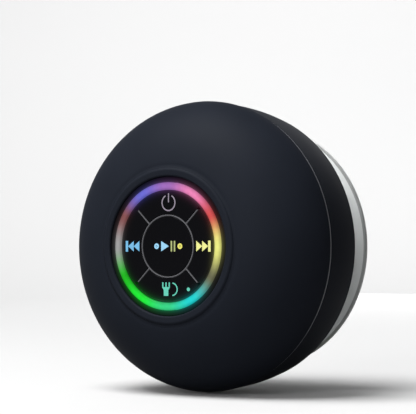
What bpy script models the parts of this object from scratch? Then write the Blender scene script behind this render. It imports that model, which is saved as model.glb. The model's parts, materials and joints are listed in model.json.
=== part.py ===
"""Shower speaker: a domed, battery-powered wireless speaker that sticks to a wall by a suction cup.

The part is turned about one axis. It is modelled standing on that axis, with x to the right, y up the
wall and z (called height below) out from the wall, and the empty `wall_frame` then tips it up: the wall
is the plane Y = 0, the keys face -Y and +Z is up. All sizes are in millimetres until they are placed.
"""

import math

import bmesh
import bpy

MM = 0.001

# Overall form, as radius from the axis and height out from the wall.
RIM_RADIUS = 44.0
RIM_HEIGHT = 33.2
DOME_RISE = 20.8
DOME_SIDE_POWER = 3.67
DOME_TOP_POWER = 1.65
SHELL_WALL = 2.3
REAR_EDGE_RADIUS = 42.45
REAR_EDGE_HEIGHT = 15.2
REAR_TOP_RADIUS = 43.7
REAR_TOP_HEIGHT = 32.2
REAR_SIDE_POWER = 2.5
CUP_RADIUS = 38.4

# Clearances between pieces that touch, slide or clip together on the real object.
GAP = 0.3
KEY_GAP = 0.15

# Shell joint: a tongue on the front shell drops inside the rear shell, over a gasket.
TONGUE_RADIUS = 41.3
TONGUE_WALL = 1.2
TONGUE_FOOT = 30.6

# Rear shell.
FLOOR_INSIDE = 18.2
REAR_BORE = 40.5
SLOT_FIELD_HEIGHT = 16.2
SLOT_FIELD_RADIUS = 33.0
SLOT_COUNT = 16
SLOT_INNER = 16.0
SLOT_OUTER = 31.2
SLOT_WIDTH = 2.4
HUB_RADIUS = 12.5
HUB_FACE = 11.0
STEM_HOLE = 4.2
HEAD_POCKET = 8.0

# Shell screws.
SCREW_CIRCLE = 36.0
SCREW_ANGLES = (90.0, 210.0, 330.0)
SCREW_SHANK = 1.0
SCREW_HEAD = 2.1
SCREW_FACE = 17.4
SCREW_SEAT = 19.4
SCREW_TIP = 30.5
POST_RADIUS = 2.4
POST_TOP = 44.0
BOSS_TOP = 24.0

# Control panel.
PANEL_OPENING = 23.4
PANEL_FACE = 52.6
LIGHT_FRONT = 53.0
BEZEL_FRONT = 53.2
LIGHT_INNER = 16.7
LIGHT_OUTER = 18.75
KEY_FOOT = 49.6
DIVIDER_RADIUS = 9.1
DIVIDER_WIDTH = 0.4
KEY_FIELD_RADIUS = 15.95
KEY_CIRCLE = 12.4
KEY_NAMES = {"next_key": 0.0, "power_key": 90.0, "previous_key": 180.0, "call_key": 270.0}
LED_COUNT = 6
LED_CIRCLE = 17.7

# Boards.
KEY_BOARD_TOP = 45.8
MAIN_BOARD_TOP = 42.2
BOARD_THICKNESS = 1.2

# Charging port, in the left side of the rear shell. Radii here run along the port's axis.
PORT_TURN = -90.0
PORT_HEIGHT = 24.4
PORT_SEAT = 41.8
PORT_MOUTH = 39.8
PLUG_HINGE_HEIGHT = 21.8
PLUG_HINGE_RADIUS = 43.15

# Loudspeaker, facing the wall.
DRIVER_RADIUS = 23.0
DRIVER_FACE = 20.5
COIL_RADIUS = 6.6

COARSE_STEPS = 20
FINE_STEPS = 36

FINISHES = {
    "black_soft_touch": ((0.012, 0.013, 0.017), 0.45, 0.0),
    "black_gloss": ((0.004, 0.004, 0.005), 0.12, 0.0),
    "grey_line": ((0.35, 0.35, 0.36), 0.5, 0.0),
    "light_diffuser": ((0.9, 0.9, 0.9), 0.35, 0.0),
    "cup_vinyl": ((0.55, 0.56, 0.56), 0.25, 0.0),
    "seal_rubber": ((0.05, 0.05, 0.055), 0.7, 0.0),
    "board_green": ((0.02, 0.16, 0.07), 0.5, 0.0),
    "chip_black": ((0.02, 0.02, 0.02), 0.6, 0.0),
    "led_white": ((0.85, 0.85, 0.8), 0.4, 0.0),
    "battery_wrap": ((0.16, 0.32, 0.55), 0.4, 0.0),
    "chassis_plastic": ((0.10, 0.10, 0.11), 0.55, 0.0),
    "mesh_cloth": ((0.02, 0.02, 0.02), 0.9, 0.0),
    "cone_paper": ((0.06, 0.06, 0.06), 0.85, 0.0),
    "magnet_ferrite": ((0.07, 0.07, 0.075), 0.6, 0.2),
    "plated_steel": ((0.6, 0.6, 0.62), 0.3, 1.0),
    "copper": ((0.75, 0.35, 0.2), 0.35, 1.0),
    "spider_cloth": ((0.55, 0.4, 0.2), 0.9, 0.0),
    "lead_red": ((0.5, 0.03, 0.02), 0.5, 0.0),
    "lead_black": ((0.02, 0.02, 0.02), 0.5, 0.0),
}


# ---------------------------------------------------------------- scene and placing


def clear_scene():
    for obj in list(bpy.data.objects):
        bpy.data.objects.remove(obj)


def new_collection(name):
    made = bpy.data.collections.new(name)
    bpy.context.scene.collection.children.link(made)
    return made


def new_material(name):
    colour, roughness, metallic = FINISHES[name]
    made = bpy.data.materials.new(name)
    made.use_nodes = True
    surface = made.node_tree.nodes["Principled BSDF"]
    surface.inputs["Base Color"].default_value = (*colour, 1.0)
    surface.inputs["Roughness"].default_value = roughness
    surface.inputs["Metallic"].default_value = metallic
    made.diffuse_color = (*colour, 1.0)
    return made


def new_empty(name, parent=None, at=(0.0, 0.0, 0.0)):
    made = bpy.data.objects.new(name, None)
    PARTS.objects.link(made)
    made.parent = parent
    made.location = [value * MM for value in at]
    return made


def add_object(name, data, finish, parent, at=(0.0, 0.0, 0.0), turn=0.0):
    """An object of the model, placed in its parent's frame. `turn` is about the height axis, in degrees."""
    made = bpy.data.objects.new(name, data)
    PARTS.objects.link(made)
    made.parent = parent
    made.location = [value * MM for value in at]
    made.rotation_euler = (0.0, 0.0, math.radians(turn))
    made.data.materials.append(MATERIALS[finish])
    return made


def as_helper(obj, owner):
    """Moves a cutter, or a shape that is joined to `owner`, out of the model and hides it."""
    PARTS.objects.unlink(obj)
    CUTTERS.objects.link(obj)
    obj.name = f"{owner.name}_{obj.name}"
    obj.hide_render = True
    obj.display_type = "WIRE"


def combine(target, others, operation):
    for other in others:
        as_helper(other, target)
        modifier = target.modifiers.new(f"{operation.lower()} {other.name}", "BOOLEAN")
        modifier.operation = operation
        modifier.object = other


def cut(target, *others):
    combine(target, others, "DIFFERENCE")


def join(target, *others):
    combine(target, others, "UNION")


# ---------------------------------------------------------------- shapes


def turned(name, outline, finish, parent, steps=FINE_STEPS, closed=True):
    """Turns (radius, height) points about the axis. They run down the outer side; an open outline
    starts and ends on the axis."""
    mesh = bpy.data.meshes.new(name)
    points = [(radius * MM, 0.0, height * MM) for radius, height in outline]
    edges = [(i, i + 1) for i in range(len(points) - 1)]
    if closed:
        edges.append((len(points) - 1, 0))
    mesh.from_pydata(points, edges, [])
    made = add_object(name, mesh, finish, parent)
    screw = made.modifiers.new("turn", "SCREW")
    screw.steps = screw.render_steps = steps
    screw.use_merge_vertices = True
    screw.merge_threshold = 1e-5
    screw.use_smooth_shade = True
    return made


def ring(name, inner, outer, low, high, finish, parent, steps=FINE_STEPS, edge=0.0):
    """A plain ring of rectangular section, with its top corners cut by `edge`."""
    outline = [(outer - edge, high)] if edge else []
    outline += [(outer, high - edge), (outer, low), (inner, low), (inner, high - edge)]
    if edge:
        outline.append((inner + edge, high))
    return turned(name, outline, finish, parent, steps)


def disc(name, radius, low, high, finish, parent, steps=FINE_STEPS):
    outline = [(0.0, high), (radius, high), (radius, low), (0.0, low)]
    return turned(name, outline, finish, parent, steps, closed=False)


def block(name, size, centre, finish, parent, turn=0.0, rounding=0.0):
    """A box of this size about `centre`, with its upright edges rounded."""
    shape = bmesh.new()
    bmesh.ops.create_cube(shape, size=1.0)
    for vert in shape.verts:
        vert.co = [side * MM * value for side, value in zip(size, vert.co)]
    mesh = bpy.data.meshes.new(name)
    shape.to_mesh(mesh)
    shape.free()
    made = add_object(name, mesh, finish, parent, centre, turn)
    if rounding:
        bevel = made.modifiers.new("round edges", "BEVEL")
        bevel.width = rounding * MM
        bevel.segments = 2
        bevel.limit_method = "ANGLE"
    return made


def post(name, radius, low, high, at, finish, parent, steps=20):
    """A round post between two heights, centred on `at`."""
    shape = bmesh.new()
    bmesh.ops.create_cone(
        shape,
        cap_ends=True,
        segments=steps,
        radius1=radius * MM,
        radius2=radius * MM,
        depth=(high - low) * MM,
    )
    mesh = bpy.data.meshes.new(name)
    shape.to_mesh(mesh)
    shape.free()
    mesh.shade_smooth()
    mesh.set_sharp_from_angle(angle=math.radians(40.0))
    return add_object(name, mesh, finish, parent, (*at, (low + high) / 2))


def flat_curve(name, outline, thickness, finish, parent, at, turn=0.0):
    """A flat outline given thickness, centred on `at`."""
    data = bpy.data.curves.new(name, "CURVE")
    data.dimensions = "2D"
    data.fill_mode = "BOTH"
    data.extrude = thickness / 2 * MM
    spline = data.splines.new("POLY")
    spline.points.add(len(outline) - 1)
    for point, (x, y) in zip(spline.points, outline):
        point.co = (x * MM, y * MM, 0.0, 1.0)
    spline.use_cyclic_u = True
    return add_object(name, data, finish, parent, at, turn)


def made_mesh(curve):
    """Replaces a curve object by a closed mesh object in the same place, so that it can be cut or joined."""
    bpy.context.view_layer.update()
    graph = bpy.context.evaluated_depsgraph_get()
    mesh = bpy.data.meshes.new_from_object(curve.evaluated_get(graph))
    shape = bmesh.new()
    shape.from_mesh(mesh)
    bmesh.ops.remove_doubles(shape, verts=shape.verts, dist=1e-6)
    shape.to_mesh(mesh)
    shape.free()
    made = bpy.data.objects.new(curve.name + "_mesh", mesh)
    PARTS.objects.link(made)
    made.parent = curve.parent
    made.matrix_parent_inverse = curve.matrix_parent_inverse
    made.matrix_world = curve.matrix_world
    name = curve.name
    bpy.data.objects.remove(curve)
    made.name = name
    return made


def wire(name, route, radius, finish, parent):
    """A round lead on a smooth curve through `route`."""
    data = bpy.data.curves.new(name, "CURVE")
    data.dimensions = "3D"
    data.bevel_depth = radius * MM
    data.bevel_resolution = 2
    data.use_fill_caps = True
    points = smooth_route(route)
    spline = data.splines.new("POLY")
    spline.points.add(len(points) - 1)
    for point, place in zip(spline.points, points):
        point.co = (*[value * MM for value in place], 1.0)
    return add_object(name, data, finish, parent)


def smooth_route(route, pieces=4):
    """Points on a Catmull-Rom curve through the route's own points."""
    ends = [route[0], *route, route[-1]]
    made = []
    for i in range(1, len(ends) - 2):
        for j in range(pieces):
            t = j / pieces
            made.append(tuple(catmull_rom(*(p[k] for p in ends[i - 1 : i + 3]), t) for k in range(3)))
    return [*made, route[-1]]


def catmull_rom(before, start, end, after, t):
    return 0.5 * (
        2 * start
        + (end - before) * t
        + (2 * before - 5 * start + 4 * end - after) * t**2
        + (3 * start - before - 3 * end + after) * t**3
    )


def around(radius, degrees):
    angle = math.radians(degrees)
    return radius * math.cos(angle), radius * math.sin(angle)


def rounded_rectangle(width, depth, radius, steps=4):
    outline = []
    for quarter, (sx, sy) in enumerate([(1, 1), (-1, 1), (-1, -1), (1, -1)]):
        for step in range(steps + 1):
            x, y = around(radius, 90.0 * quarter + 90.0 * step / steps)
            outline.append((sx * (width / 2 - radius) + x, sy * (depth / 2 - radius) + y))
    return outline


def dome_curve(side, rise, from_radius, steps):
    """(radius, height) points down a superellipse dome, from `from_radius` to its foot at the rim."""
    start = math.acos((from_radius / side) ** (DOME_SIDE_POWER / 2))
    points = []
    for step in range(steps + 1):
        angle = start * (1 - step / steps)
        radius = side * math.cos(angle) ** (2 / DOME_SIDE_POWER)
        points.append((radius, RIM_HEIGHT + rise * math.sin(angle) ** (2 / DOME_TOP_POWER)))
    return points


# ---------------------------------------------------------------- suction cup


def suction_cup(parent):
    """Cup, hub and mushroom stem in one moulding. The stem's head turns inside the rear shell's hub."""
    stem = STEM_HOLE - GAP
    outline = [
        (0.0, 16.8),
        (5.0, 16.8),
        (6.3, 15.8),
        (6.3, 14.6),
        (stem, 14.6),
        (stem, HUB_FACE - GAP),
        (11.0, HUB_FACE - GAP),
        (11.9, 9.8),
        (12.6, 7.9),
        (15.0, 6.6),
        (24.0, 4.7),
        (CUP_RADIUS, 1.0),
        (CUP_RADIUS, 0.0),
        (33.4, 0.0),
        (26.0, 1.6),
        (0.0, 3.2),
    ]
    turned("suction_cup", outline, "cup_vinyl", parent, closed=False)


def swivel_washer(parent):
    ring("swivel_washer", 4.4, 7.4, 13.3, 14.3, "plated_steel", parent, COARSE_STEPS)


# ---------------------------------------------------------------- shells


def rear_band(steps=5):
    """(radius, height) points down the rear shell's side, which bulges a little."""
    points = []
    for step in range(steps + 1):
        share = step / steps
        radius = REAR_EDGE_RADIUS + (REAR_TOP_RADIUS - REAR_EDGE_RADIUS) * (1 - share**REAR_SIDE_POWER)
        points.append((radius, REAR_TOP_HEIGHT + (REAR_EDGE_HEIGHT + 0.7 - REAR_TOP_HEIGHT) * share))
    return points


def rear_shell(parent, port_frame):
    outline = [
        *rear_band(),
        (REAR_EDGE_RADIUS - 0.6, REAR_EDGE_HEIGHT),
        (SLOT_FIELD_RADIUS + 0.5, REAR_EDGE_HEIGHT),
        (SLOT_FIELD_RADIUS, SLOT_FIELD_HEIGHT),
        (HUB_RADIUS + 0.8, SLOT_FIELD_HEIGHT),
        (HUB_RADIUS, SLOT_FIELD_HEIGHT - 0.8),
        (HUB_RADIUS, HUB_FACE + 0.6),
        (HUB_RADIUS - 0.6, HUB_FACE),
        (STEM_HOLE, HUB_FACE),
        (STEM_HOLE, 13.0),
        (HEAD_POCKET, 13.0),
        (HEAD_POCKET, FLOOR_INSIDE),
        (REAR_BORE - 1.2, FLOOR_INSIDE),
        (REAR_BORE, FLOOR_INSIDE + 1.2),
        (REAR_BORE, TONGUE_FOOT - GAP),
        (TONGUE_RADIUS + GAP, TONGUE_FOOT - GAP),
        (TONGUE_RADIUS + GAP, REAR_TOP_HEIGHT),
    ]
    shell = turned("rear_shell", outline, "black_soft_touch", parent)
    join(shell, *screw_bosses(parent))
    cut(shell, *sound_slots(parent), *screw_bores(parent), *port_openings(port_frame))


def screw_bosses(parent):
    return [
        post(f"boss_{i}", POST_RADIUS + 0.6, FLOOR_INSIDE - 1.0, BOSS_TOP, around(SCREW_CIRCLE, angle),
             "black_soft_touch", parent)
        for i, angle in enumerate(SCREW_ANGLES)
    ]


def screw_bores(parent):
    """A clearance hole right through each boss, and a wider seat for the head from behind."""
    made = []
    for i, angle in enumerate(SCREW_ANGLES):
        at = around(SCREW_CIRCLE, angle)
        made.append(post(f"hole_{i}", SCREW_SHANK + GAP, 12.0, BOSS_TOP + 2.0, at, "chip_black", parent))
        made.append(post(f"seat_{i}", SCREW_HEAD + GAP, 10.0, SCREW_SEAT, at, "chip_black", parent))
    return made


def sound_slots(parent):
    """Round-ended radial slots that let the sound out behind the suction cup."""
    outline = rounded_rectangle(SLOT_OUTER - SLOT_INNER, SLOT_WIDTH, SLOT_WIDTH / 2 - 0.05, steps=2)
    made = []
    for i in range(SLOT_COUNT):
        angle = 360.0 * (i + 0.5) / SLOT_COUNT
        at = (*around((SLOT_OUTER + SLOT_INNER) / 2, angle), FLOOR_INSIDE - 1.0)
        made.append(made_mesh(flat_curve(f"slot_{i}", outline, 6.0, "chip_black", parent, at, angle)))
    return made


def port_slab(name, width, depth, radius, low, high, finish, parent, height=PORT_HEIGHT):
    """A rounded slab across the port's axis, between two distances from the speaker's own axis."""
    outline = rounded_rectangle(width, depth, radius)
    slab = flat_curve(name, outline, high - low, finish, parent, (0.0, -(low + high) / 2, height))
    slab.rotation_euler = (math.radians(90.0), 0.0, 0.0)
    return made_mesh(slab)


def port_openings(port_frame):
    """The mouth of the charging port, and the shallow seat that its rubber plug fills."""
    return [
        port_slab("port_mouth", 9.4, 3.8, 1.8, 36.0, 46.0, "chip_black", port_frame),
        port_slab("plug_seat", 13.2, 8.6, 2.2, PORT_SEAT, 47.0, "chip_black", port_frame),
    ]


def seam_gasket(parent):
    low, high = REAR_TOP_HEIGHT + GAP, RIM_HEIGHT - GAP
    ring("seam_gasket", TONGUE_RADIUS + GAP, REAR_TOP_RADIUS - 0.2, low, high, "seal_rubber", parent)


def front_shell(parent):
    inside = dome_curve(RIM_RADIUS - SHELL_WALL, DOME_RISE - SHELL_WALL, PANEL_OPENING, 6)
    tongue_bore = TONGUE_RADIUS - TONGUE_WALL
    inside = [point for point in inside if point[0] < tongue_bore - 0.3]
    outline = [
        *dome_curve(RIM_RADIUS, DOME_RISE, PANEL_OPENING, 10)[:-1],
        (RIM_RADIUS, RIM_HEIGHT + 0.3),
        (RIM_RADIUS - 0.3, RIM_HEIGHT),
        (TONGUE_RADIUS, RIM_HEIGHT),
        (TONGUE_RADIUS, TONGUE_FOOT),
        (tongue_bore, TONGUE_FOOT),
        (tongue_bore, RIM_HEIGHT + 5.0),
        *reversed(inside),
    ]
    shell = turned("front_shell", outline, "black_soft_touch", parent)
    join(shell, *screw_posts(parent))
    cut(shell, *pilot_holes(parent))


def screw_posts(parent):
    return [
        post(f"post_{i}", POST_RADIUS, BOSS_TOP + GAP, POST_TOP, around(SCREW_CIRCLE, angle),
             "black_soft_touch", parent)
        for i, angle in enumerate(SCREW_ANGLES)
    ]


def pilot_holes(parent):
    return [
        post(f"pilot_{i}", SCREW_SHANK + 0.15, BOSS_TOP - 2.0, 33.0, around(SCREW_CIRCLE, angle),
             "chip_black", parent)
        for i, angle in enumerate(SCREW_ANGLES)
    ]


def shell_screws(parent):
    for i, angle in enumerate(SCREW_ANGLES):
        at = around(SCREW_CIRCLE, angle)
        head_back = SCREW_SEAT - 0.4
        screw = post(f"shell_screw_{i + 1}", SCREW_HEAD, SCREW_FACE, head_back, at, "plated_steel", parent)
        shank = post("shank", SCREW_SHANK, head_back - 0.5, SCREW_TIP, at, "plated_steel", parent, 16)
        recess = block("cross", (2.2, 0.5, 1.4), (*at, SCREW_FACE), "plated_steel", parent)
        other_recess = block("cross", (0.5, 2.2, 1.4), (*at, SCREW_FACE), "plated_steel", parent)
        join(screw, shank)
        cut(screw, recess, other_recess)


# ---------------------------------------------------------------- control panel


def panel_surround(parent):
    """The raised, rounded ring round the control panel."""
    outline = [
        (21.9, BEZEL_FRONT),
        (22.6, BEZEL_FRONT - 0.1),
        (23.0, BEZEL_FRONT - 0.5),
        (PANEL_OPENING - GAP, BEZEL_FRONT - 1.1),
        (PANEL_OPENING - GAP, 50.0),
        (20.6, 50.0),
        (20.5, BEZEL_FRONT - 0.7),
        (20.8, BEZEL_FRONT - 0.3),
        (21.3, BEZEL_FRONT - 0.05),
    ]
    turned("panel_surround", outline, "black_soft_touch", parent)


def panel_carrier(parent):
    """Gloss black ring outside the light, with a flange that clips under the front shell."""
    bore = LIGHT_OUTER + GAP
    outline = [
        (bore + 0.15, PANEL_FACE),
        (20.0, PANEL_FACE - 0.05),
        (20.25, PANEL_FACE - 0.3),
        (20.25, 49.4),
        (26.0, 49.4),
        (26.0, 48.2),
        (bore, 48.2),
        (bore, PANEL_FACE - 0.15),
    ]
    turned("panel_carrier", outline, "black_gloss", parent)


def light_ring(parent):
    ring("light_ring", LIGHT_INNER, LIGHT_OUTER, 47.6, LIGHT_FRONT, "light_diffuser", parent, edge=0.5)


def key_frame(parent):
    """A narrow rim, a thin ring and four thin spokes, in one moulding, that part the keys."""
    low, high = 49.3, PANEL_FACE
    half = DIVIDER_WIDTH / 2
    made = ring("key_frame", KEY_FIELD_RADIUS, LIGHT_INNER - GAP, low, high, "grey_line", parent)
    middle = ring("middle", DIVIDER_RADIUS - half, DIVIDER_RADIUS + half, low, high, "grey_line", parent)
    length = KEY_FIELD_RADIUS - DIVIDER_RADIUS + 0.2
    spokes = []
    for i in range(4):
        angle = 45.0 + 90.0 * i
        at = (*around(DIVIDER_RADIUS + length / 2, angle), (low + high) / 2)
        size = (length, DIVIDER_WIDTH, high - low)
        spokes.append(block(f"spoke_{i}", size, at, "grey_line", parent, angle))
    join(made, middle, *spokes)


def sector_outline(inner, outer, gap, steps=8):
    """A quarter of a ring about the +x direction, kept `gap` clear of the spokes' middle lines."""
    outline = []
    for radius, first in ((outer, -1), (inner, 1)):
        half = 45.0 - math.degrees(math.asin(gap / radius))
        for step in range(steps + 1):
            outline.append(around(radius, first * half * (1 - 2 * step / steps)))
    return outline


def keys(parent):
    clear = DIVIDER_WIDTH / 2 + KEY_GAP
    disc("play_key", DIVIDER_RADIUS - clear, KEY_FOOT, PANEL_FACE, "black_gloss", parent)
    outline = sector_outline(DIVIDER_RADIUS + clear, KEY_FIELD_RADIUS - KEY_GAP, clear)
    thickness = PANEL_FACE - KEY_FOOT
    at = (0.0, 0.0, KEY_FOOT + thickness / 2)
    for name, angle in KEY_NAMES.items():
        flat_curve(name, outline, thickness, "black_gloss", parent, at, angle)


def key_membrane(parent):
    """Rubber sheet that keeps water out from under the keys."""
    outline = [
        (0.0, 49.0),
        (KEY_FIELD_RADIUS + 0.4, 49.0),
        (KEY_FIELD_RADIUS + 0.4, 48.0),
        (KEY_FIELD_RADIUS - 0.8, 48.0),
        (KEY_FIELD_RADIUS - 0.8, 48.5),
        (0.0, 48.5),
    ]
    turned("key_membrane", outline, "seal_rubber", parent, COARSE_STEPS, closed=False)


# ---------------------------------------------------------------- electronics


def key_board(parent):
    disc("key_board", 22.5, KEY_BOARD_TOP - BOARD_THICKNESS, KEY_BOARD_TOP, "board_green", parent,
         COARSE_STEPS)
    foot = KEY_BOARD_TOP + GAP
    ring("key_spacer", 20.2, 22.2, foot, 47.9, "chassis_plastic", parent, COARSE_STEPS)
    places = {"play": (0.0, 0.0)}
    for name, angle in KEY_NAMES.items():
        places[name.removesuffix("_key")] = around(KEY_CIRCLE, angle)
    for name, at in places.items():
        block(f"{name}_switch", (4.5, 4.5, 1.0), (*at, foot + 0.5), "plated_steel", parent)
        post(f"{name}_switch_button", 1.2, foot + 1.5, foot + 2.1, at, "chip_black", parent, 12)
    for i in range(LED_COUNT):
        angle = 20.0 + 360.0 * i / LED_COUNT
        at = (*around(LED_CIRCLE, angle), foot + 0.5)
        block(f"led_{i + 1}", (2.4, 3.0, 1.0), at, "led_white", parent, angle)
    post("microphone", 2.0, foot, foot + 1.4, around(KEY_CIRCLE, 315.0), "plated_steel", parent, 16)


def main_board(parent):
    disc("main_board", 31.0, MAIN_BOARD_TOP - BOARD_THICKNESS, MAIN_BOARD_TOP, "board_green", parent,
         COARSE_STEPS)
    foot = MAIN_BOARD_TOP + GAP
    block("wireless_module", (13.0, 10.0, 1.5), (-8.0, 10.0, foot + 0.75), "plated_steel", parent)
    block("amplifier_chip", (6.0, 5.0, 1.2), (10.0, 6.0, foot + 0.6), "chip_black", parent)


def inner_chassis(parent):
    """A sleeve round the magnet with a shelf for the main board, on four legs."""
    outline = [
        (27.0, 40.4),
        (27.0, 38.8),
        (17.3, 38.8),
        (17.3, 32.0),
        (15.3, 32.0),
        (15.3, 40.4),
    ]
    chassis = turned("inner_chassis", outline, "chassis_plastic", parent, COARSE_STEPS)
    legs = []
    for i, angle in enumerate((60.0, 120.0, 240.0, 300.0)):
        leg_top, leg_foot = 40.0, 19.3
        at = (*around(28.0, angle), (leg_top + leg_foot) / 2)
        legs.append(block(f"leg_{i}", (4.0, 3.0, leg_top - leg_foot), at, "chassis_plastic", parent, angle))
    join(chassis, *legs)


def battery(parent):
    block("battery", (8.0, 30.0, 17.8), (28.3, 0.0, 29.4), "battery_wrap", parent, rounding=1.5)
    route = [(30.0, 7.0, 38.7), (30.0, 6.0, 39.5), (29.6, 0.0, 39.7), (29.0, -5.0, 39.8), (29.0, -6.0, 40.6)]
    wire("battery_lead", route, 0.5, "lead_red", parent)


# ---------------------------------------------------------------- charging port


def charge_port(port_frame):
    """Metal-shelled receptacle with a tongue inside, on its own small board."""
    back = 32.6
    shell = port_slab("charge_port", 8.9, 3.2, 1.5, back, PORT_MOUTH, "plated_steel", port_frame)
    pocket = port_slab("pocket", 8.3, 2.6, 1.25, back + 1.0, PORT_MOUTH + 1.0, "plated_steel", port_frame)
    cut(shell, pocket)
    tongue_low, tongue_high = back + 0.5, PORT_MOUTH - 1.0
    size = (6.6, tongue_high - tongue_low, 0.7)
    at = (0.0, -(tongue_low + tongue_high) / 2, PORT_HEIGHT)
    join(shell, block("tongue", size, at, "plated_steel", port_frame))
    block("port_board", (17.0, 11.0, 1.0), (0.0, -33.5, 21.9), "board_green", port_frame)


def shaped_to_side(slab, port_frame):
    """Trims a slab to the rear shell's bulging side, a little under flush."""
    side = [(radius - 0.15, height) for radius, height in rear_band()]
    outline = [(0.0, side[0][1]), *side, (0.0, side[-1][1])]
    combine(slab, [turned("side", outline, "seal_rubber", port_frame, 80, closed=False)], "INTERSECT")


def port_plug(port_frame):
    """Rubber plug that closes the port, with the root of its strap. It bends along the hinge line."""
    hinge = new_empty("plug_hinge", port_frame, (0.0, -PLUG_HINGE_RADIUS, PLUG_HINGE_HEIGHT))
    face = PORT_SEAT + 0.25
    top, bottom = PORT_HEIGHT + 3.9, PLUG_HINGE_HEIGHT + 0.15
    lid = port_slab("port_plug", 12.4, top - bottom, 1.9, face, 46.0, "seal_rubber", port_frame,
                    (top + bottom) / 2)
    shaped_to_side(lid, port_frame)
    join(lid, port_slab("nub", 8.2, 2.6, 1.2, face - 1.1, face + 0.4, "seal_rubber", port_frame))
    bpy.context.view_layer.update()
    placed = lid.matrix_world.copy()
    lid.parent = hinge
    lid.matrix_world = placed
    root = port_slab("plug_strap", 6.0, 1.1, 0.3, face, 46.0, "seal_rubber", port_frame,
                     PLUG_HINGE_HEIGHT - 0.15 - 0.55)
    shaped_to_side(root, port_frame)


# ---------------------------------------------------------------- loudspeaker


def driver_frame(parent):
    """Pressed basket: a flange, a cone with four windows and a flat seat for the magnet."""
    outline = [
        (8.2, 31.8),
        (14.5, 31.8),
        (20.9, 21.9),
        (DRIVER_RADIUS, 21.7),
        (DRIVER_RADIUS, DRIVER_FACE),
        (20.2, DRIVER_FACE),
        (20.0, 21.3),
        (14.0, 30.8),
        (8.2, 30.8),
    ]
    frame = turned("driver_frame", outline, "plated_steel", parent, COARSE_STEPS)
    windows = []
    for i in range(4):
        angle = 45.0 + 90.0 * i
        windows.append(block(f"window_{i}", (10.0, 12.0, 5.5), (*around(18.0, angle), 26.0), "plated_steel",
                             parent, angle))
    cut(frame, *windows)


def driver_soft_parts(parent):
    """Surround roll, cone, dust cap and coil former. The cone opens towards the wall."""
    roll = [around(1.6, 180.0 - 180.0 * i / 5) for i in range(6)]
    outer = [(18.1 - x, 21.0 - y * 0.9) for x, y in roll]
    inner = [(18.1 - x * 0.72, 21.0 - y * 0.55) for x, y in roll]
    turned("driver_surround", [*reversed(inner), *outer], "seal_rubber", parent, COARSE_STEPS)
    cone = [(16.2, 22.0), (16.2, 21.4), (7.2, 27.2), (COIL_RADIUS, 27.6), (COIL_RADIUS, 28.3), (7.3, 28.3)]
    turned("driver_cone", cone, "cone_paper", parent, COARSE_STEPS)
    cap = [around(1.0, angle) for angle in range(0, 91, 30)]
    outside = [((COIL_RADIUS - GAP) * x, 27.9 - 2.4 * y) for x, y in cap]
    inside = [((COIL_RADIUS - GAP - 0.4) * x, 27.9 - 2.0 * y) for x, y in reversed(cap)]
    turned("driver_dust_cap", [*inside, *outside], "cone_paper", parent, COARSE_STEPS, closed=False)
    ring("voice_coil", 6.3, 6.75, 28.6, 35.8, "copper", parent, COARSE_STEPS)


def driver_spider(parent):
    """Corrugated ring that centres the coil."""
    count = 6
    low = []
    for i in range(count + 1):
        radius = 7.8 + (13.0 - 7.8) * i / count
        low.append((radius, 29.2 + (0.35 if i % 2 else 0.0)))
    high = [(radius, height + 0.4) for radius, height in low]
    turned("driver_spider", [*high, *reversed(low)], "spider_cloth", parent, COARSE_STEPS)


def driver_motor(parent):
    ring("driver_top_plate", 7.3, 13.5, 32.1, 34.1, "plated_steel", parent, COARSE_STEPS)
    ring("driver_magnet", 9.5, 14.6, 34.4, 38.4, "magnet_ferrite", parent, COARSE_STEPS)
    outline = [(0.0, 40.5), (13.2, 40.5), (13.5, 40.2), (13.5, 38.7), (5.9, 38.7), (5.9, 32.1), (0.0, 32.1)]
    turned("driver_yoke", outline, "plated_steel", parent, COARSE_STEPS, closed=False)


def driver(parent):
    ring("driver_gasket", 20.6, DRIVER_RADIUS, 19.2, DRIVER_FACE - GAP, "seal_rubber", parent, COARSE_STEPS)
    driver_frame(parent)
    driver_soft_parts(parent)
    driver_spider(parent)
    driver_motor(parent)
    route = [(-21.0, 4.0, 27.0), (-22.5, 5.0, 28.0), (-27.0, 7.0, 32.0), (-29.0, 8.0, 37.0)]
    wire("driver_lead", [*route, (-29.2, 8.0, 40.6)], 0.5, "lead_black", parent)


def sound_mesh(parent):
    ring("sound_mesh", 12.5, 32.5, FLOOR_INSIDE + GAP, FLOOR_INSIDE + GAP + 0.4, "mesh_cloth", parent,
         COARSE_STEPS)


def hub_cap(parent):
    disc("hub_cap", 11.5, FLOOR_INSIDE + GAP, FLOOR_INSIDE + GAP + 1.2, "chassis_plastic", parent,
         COARSE_STEPS)


# ---------------------------------------------------------------- the whole object


def build():
    wall_frame = new_empty("wall_frame")
    wall_frame.rotation_euler = (math.radians(90.0), 0.0, 0.0)
    swivel = new_empty("swivel", wall_frame)
    port_frame = new_empty("port_frame", swivel)
    port_frame.rotation_euler = (0.0, 0.0, math.radians(PORT_TURN))
    suction_cup(wall_frame)
    swivel_washer(swivel)
    rear_shell(swivel, port_frame)
    seam_gasket(swivel)
    front_shell(swivel)
    shell_screws(swivel)
    panel_surround(swivel)
    panel_carrier(swivel)
    light_ring(swivel)
    key_frame(swivel)
    keys(swivel)
    key_membrane(swivel)
    key_board(swivel)
    main_board(swivel)
    inner_chassis(swivel)
    battery(swivel)
    charge_port(port_frame)
    port_plug(port_frame)
    driver(swivel)
    sound_mesh(swivel)
    hub_cap(swivel)


clear_scene()
PARTS = new_collection("shower_speaker")
CUTTERS = new_collection("cutters")
MATERIALS = {name: new_material(name) for name in FINISHES}
build()
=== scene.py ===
"""Looks of a shower speaker: a soft-touch black dome with a lit control panel, on a pale suction cup.

The wall is the plane Y = 0, the keys face -Y and +Z is up. Sizes here are in millimetres, as radius
from the speaker's axis and height out from the wall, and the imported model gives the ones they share.
"""

import json
import math

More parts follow.
